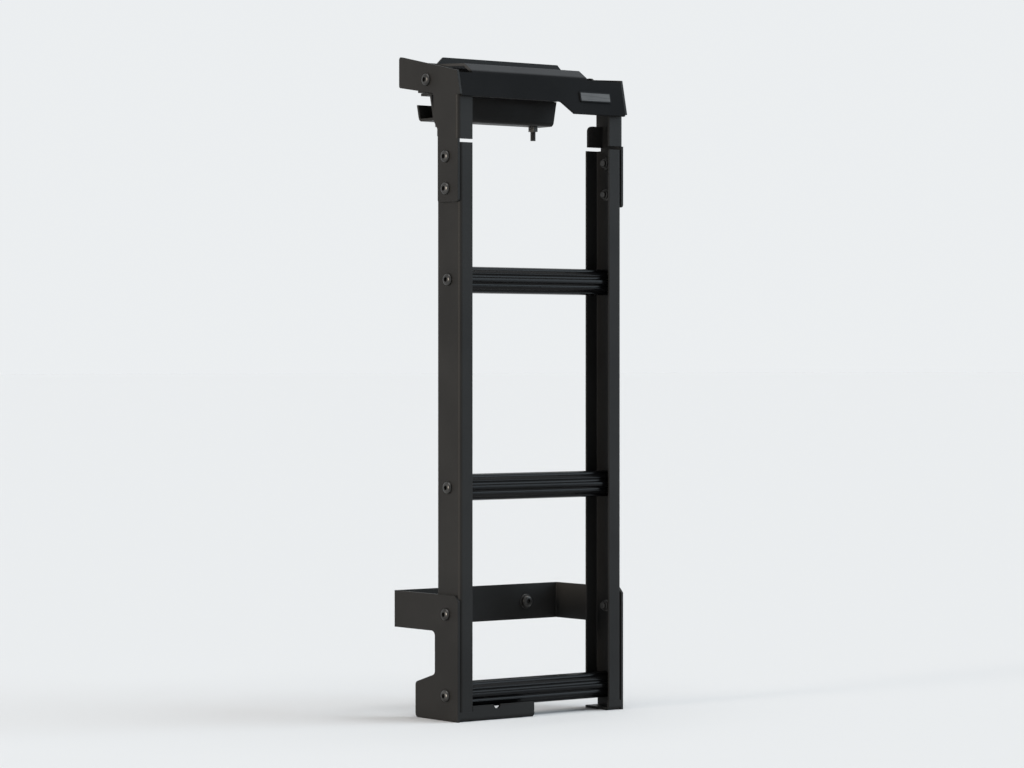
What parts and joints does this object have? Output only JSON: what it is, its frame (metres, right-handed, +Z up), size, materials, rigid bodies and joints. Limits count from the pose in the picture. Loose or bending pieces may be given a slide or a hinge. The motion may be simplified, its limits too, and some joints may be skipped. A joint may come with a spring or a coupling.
{
  "type": "vehicle ladder",
  "caption": "Short rear ladder for a vehicle: channel stiles, fluted rungs, a header whose arms clamp to the roof gutter, and a strap bracket that bolts to the body.",
  "frame": {"origin": "middle of the strap's back face, where the ladder bolts to the body", "axes": "+X across the ladder to the right seen by the climber, +Y towards the vehicle, +Z up"},
  "size_m": [0.236, 0.1295, 0.7393],
  "materials": {
    "black_paint": "satin powder coat",
    "rung_black": "black coated extrusion",
    "dark_fastener": "dark plated",
    "bare_badge": "plain satin plate"
  },
  "bodies": {
    "root": {"badge_plate": "bare_badge", "gutter_bracket": "black_paint", "gutter_jaw": "black_paint", "header_plate": "black_paint", "left_clamp_nut": "dark_fastener", "left_clamp_screw": "dark_fastener", "left_head_bracket": "black_paint", "left_stile": "black_paint", "lower_bracket": "black_paint", "lower_rung": "rung_black", "middle_rung": "rung_black", "right_clamp_nut": "dark_fastener", "right_clamp_screw": "dark_fastener", "right_head_bracket": "black_paint", "right_stile": "black_paint", "upper_rung": "rung_black"}
  },
  "joints": []
}
